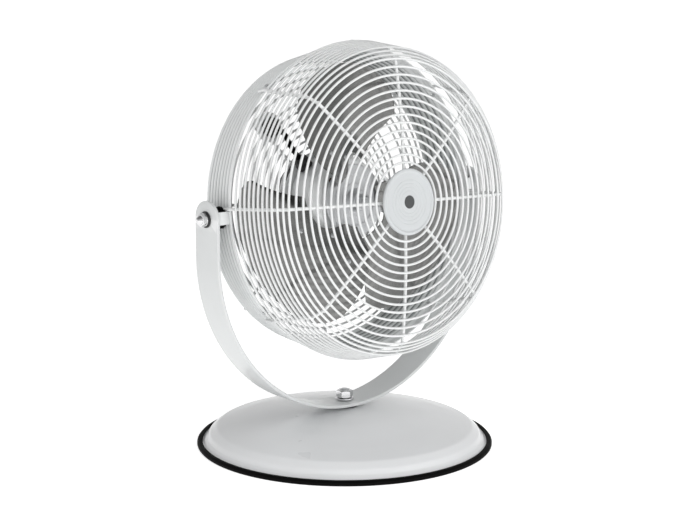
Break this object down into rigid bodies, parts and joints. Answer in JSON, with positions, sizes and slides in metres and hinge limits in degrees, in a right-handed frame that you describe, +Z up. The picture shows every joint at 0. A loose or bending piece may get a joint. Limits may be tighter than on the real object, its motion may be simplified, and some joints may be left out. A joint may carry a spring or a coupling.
{
  "type": "desk fan",
  "caption": "Desk fan with a wire-caged head in a conical metal shroud, tilting on a bent strap yoke above a weighted round pressed-steel base.",
  "frame": {"origin": "centre of the base's underside, on the surface that the fan stands on", "axes": "+Z up, -Y towards the front of the fan, +X to the right hand of someone who faces its front"},
  "size_m": [0.4136, 0.34, 0.4644],
  "materials": {
    "white_paint": "semi-gloss white enamel on steel",
    "base_paint": "gloss white enamel on pressed steel",
    "wire_paint": "gloss white coating on steel wire",
    "badge_paint": "satin white disc with a raised rim",
    "black_rubber": "matt black",
    "black_plastic": "fine-grained black moulding",
    "chrome_hardware": "bright chrome plate",
    "zinc_steel": "bright zinc plate",
    "spider_steel": "light grey zinc plate",
    "cast_iron": "rough, dipped in grey primer",
    "blade_aluminium": "dark polished sheet with clear lacquer",
    "motor_aluminium": "silver satin",
    "bright_steel": "ground steel",
    "lamination_steel": "stacked lamination edges",
    "copper_winding": "varnished copper wire"
  },
  "bodies": {
    "base": {"base_pan": "base_paint", "base_edge_trim": "black_rubber", "ballast": "cast_iron", "base_bolt": "zinc_steel", "clamp_disc": "black_rubber"},
    "yoke": {"yoke_strap": "white_paint", "yoke_washer": "chrome_hardware", "yoke_nut": "chrome_hardware"},
    "head": {"pivot_bracket_left": "white_paint", "pivot_bracket_right": "white_paint", "pivot_bush_left": "black_rubber", "pivot_bush_right": "black_rubber", "pivot_bolt_left": "zinc_steel", "pivot_bolt_right": "zinc_steel", "pivot_washer_left": "black_plastic", "pivot_washer_right": "black_plastic", "acorn_nut_left": "chrome_hardware", "acorn_nut_right": "chrome_hardware", "shroud_band": "white_paint", "front_guard": "wire_paint", "front_badge": "badge_paint", "rear_guard": "wire_paint", "guard_screw_1": "zinc_steel", "guard_screw_2": "zinc_steel", "guard_screw_3": "zinc_steel", "guard_screw_4": "zinc_steel", "motor_front_shell": "motor_aluminium", "motor_rear_shell": "motor_aluminium", "motor_screw_1": "zinc_steel", "motor_screw_2": "zinc_steel", "motor_screw_3": "zinc_steel", "motor_screw_4": "zinc_steel", "stator_core": "lamination_steel", "stator_winding": "copper_winding", "bearing_front": "bright_steel", "bearing_rear": "bright_steel", "motor_gland": "black_plastic", "cord_gland": "black_plastic", "motor_lead": "black_rubber", "switch_cover": "black_plastic", "rotary_switch": "black_plastic", "capacitor": "motor_aluminium"},
    "rotor": {"motor_shaft": "bright_steel", "rotor_core": "lamination_steel", "blade_spider": "spider_steel", "blade_1": "blade_aluminium", "blade_2": "blade_aluminium", "blade_3": "blade_aluminium", "hub_nut": "zinc_steel"},
    "knob": {"speed_knob": "black_plastic"}
  },
  "joints": [
    {"name": "yoke_swivel", "type": "hinge", "parent": "base", "child": "yoke", "pos_m": [0, 0, 0.0464], "axis": [0, 0, 1], "range_deg": [-90, 90]},
    {"name": "head_tilt", "type": "hinge", "parent": "yoke", "child": "head", "pos_m": [0, 0, 0.2835], "axis": [-1, 0, 0], "range_deg": [-46.2, 83.8]},
    {"name": "rotor_spin", "type": "hinge", "parent": "head", "child": "rotor", "pos_m": [0, 0, 0.2835], "axis": [0, -0.9942, 0.108], "continuous": true},
    {"name": "knob_turn", "type": "hinge", "parent": "head", "child": "knob", "pos_m": [0, 0, 0.2835], "axis": [0, -0.9942, 0.108], "range_deg": [0, 135]}
  ]
}
